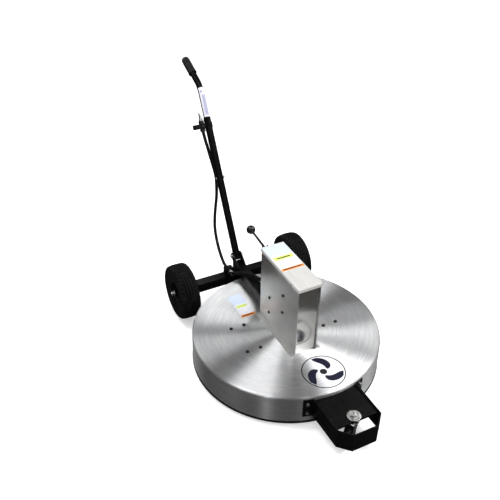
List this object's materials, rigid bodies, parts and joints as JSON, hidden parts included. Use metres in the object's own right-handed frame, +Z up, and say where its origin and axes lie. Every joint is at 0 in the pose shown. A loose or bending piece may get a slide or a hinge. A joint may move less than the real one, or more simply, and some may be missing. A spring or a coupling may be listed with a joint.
{
  "type": "rotary surface cleaner",
  "caption": "Walk-behind rotary surface cleaner: round aluminium deck with a spray rotor, pneumatic rear wheels, front caster in a bumper, stick handle with valve and hose.",
  "frame": {"origin": "on the floor at the middle of the footprint, which is the bounding box of the whole machine at rest", "axes": "+Z up, +Y to the rear (axle and handle), -Y to the front (bumper and caster), +X to the machine's right when looking towards +Y"},
  "size_m": [0.9193, 1.8798, 1.1446],
  "materials": {
    "brushed_aluminium": "brushed",
    "black_steel": "satin powder coat",
    "zinc_steel": "bright zinc plated",
    "stainless": "satin",
    "brass": "machined",
    "black_rubber": "matt",
    "tyre_rubber": "matt",
    "black_plastic": "gloss",
    "black_oxide": "black oxide",
    "caster_tread": "satin"
  },
  "bodies": {
    "chassis": {"deck_shell": "brushed_aluminium", "deck_edge_trim": "black_rubber", "cross_channel_front": "black_steel", "cross_channel_rear": "black_steel", "cross_channel_bolts": "black_oxide", "housing_side_left": "brushed_aluminium", "housing_side_right": "brushed_aluminium", "housing_front_cover": "brushed_aluminium", "housing_rear_cover": "brushed_aluminium", "housing_lid": "brushed_aluminium", "housing_lid_screws": "zinc_steel", "housing_flange_bolts": "zinc_steel", "lever_bracket": "black_steel", "lever_pivot_bolt": "zinc_steel", "guide_rail_front": "stainless", "guide_rail_rear": "stainless", "guide_rail_bolts": "zinc_steel", "tongue": "black_steel", "tongue_bolts": "zinc_steel", "axle_beam": "black_steel", "axle": "zinc_steel", "wheel_nuts": "zinc_steel", "handle_plate_left": "black_steel", "handle_plate_right": "black_steel", "handle_pivot_bolt": "zinc_steel", "bumper_loop": "black_steel", "bumper_bolts": "zinc_steel", "caster_stem": "zinc_steel", "caster_nut": "zinc_steel", "hose_block": "black_steel", "frame_hose": "black_rubber", "housing_inlet_fitting": "brass"},
    "lift_lever": {"lever_arm": "zinc_steel", "lever_rod": "black_oxide", "lever_knob": "black_plastic"},
    "carriage": {"swivel_carriage": "brushed_aluminium", "swivel_body": "brass", "swivel_inlet_elbow": "brass", "whip_hose": "black_rubber"},
    "rotor": {"swivel_shaft": "stainless", "rotor_hub": "stainless", "spray_arm_left": "stainless", "spray_arm_right": "stainless", "spray_nozzles": "stainless"},
    "wheel_left": {"tyre_left": "tyre_rubber", "rim_left": "black_steel"},
    "wheel_right": {"tyre_right": "tyre_rubber", "rim_right": "black_steel"},
    "caster_fork_body": {"caster_fork": "zinc_steel", "caster_axle_bolt": "zinc_steel"},
    "caster_wheel_body": {"caster_wheel": "caster_tread"},
    "handle": {"handle_lower_tube": "black_steel", "handle_upper_tube": "black_steel", "handle_grip": "black_rubber", "handle_joint_bolt": "zinc_steel", "valve_bracket": "black_steel", "ball_valve": "black_oxide", "inlet_plug": "zinc_steel", "handle_hose": "black_rubber"},
    "valve_lever_body": {"valve_lever": "black_steel"}
  },
  "joints": [
    {"name": "lever_tilt", "type": "hinge", "parent": "chassis", "child": "lift_lever", "pos_m": [-0.022, -0.0579, 0.532], "axis": [1, 0, 0], "range_deg": [-10, 10]},
    {"name": "carriage_lift", "type": "slide", "parent": "chassis", "child": "carriage", "axis": [0, 0, 1], "range_m": [-0.0106, 0.0106], "deforming": ["whip_hose"]},
    {"name": "rotor_spin", "type": "hinge", "parent": "carriage", "child": "rotor", "pos_m": [0, -0.2459, 0.075], "axis": [0, 0, 1], "continuous": true},
    {"name": "wheel_left_spin", "type": "hinge", "parent": "chassis", "child": "wheel_left", "pos_m": [-0.331, 0.2741, 0.146], "axis": [1, 0, 0], "continuous": true},
    {"name": "wheel_right_spin", "type": "hinge", "parent": "chassis", "child": "wheel_right", "pos_m": [0.331, 0.2741, 0.146], "axis": [1, 0, 0], "continuous": true},
    {"name": "caster_swivel", "type": "hinge", "parent": "chassis", "child": "caster_fork_body", "pos_m": [0, -0.8439, 0.13], "axis": [0, 0, 1], "continuous": true},
    {"name": "caster_roll", "type": "hinge", "parent": "caster_fork_body", "child": "caster_wheel_body", "pos_m": [-0.03029, -0.85933, 0.05], "axis": [-0.454, 0.891, 0], "continuous": true},
    {"name": "handle_tilt", "type": "hinge", "parent": "chassis", "child": "handle", "pos_m": [0, 0.3051, 0.252], "axis": [1, 0, 0], "range_deg": [-25, 30], "deforming": ["handle_hose"]},
    {"name": "valve_turn", "type": "hinge", "parent": "handle", "child": "valve_lever_body", "pos_m": [-0.0365, 0.62345, 0.88023], "axis": [0, -0.8788, 0.4772], "range_deg": [0, 90]}
  ],
  "couplings": [
    {"joint": "carriage_lift", "follows": "lever_tilt", "m_per_rad": -0.06}
  ]
}
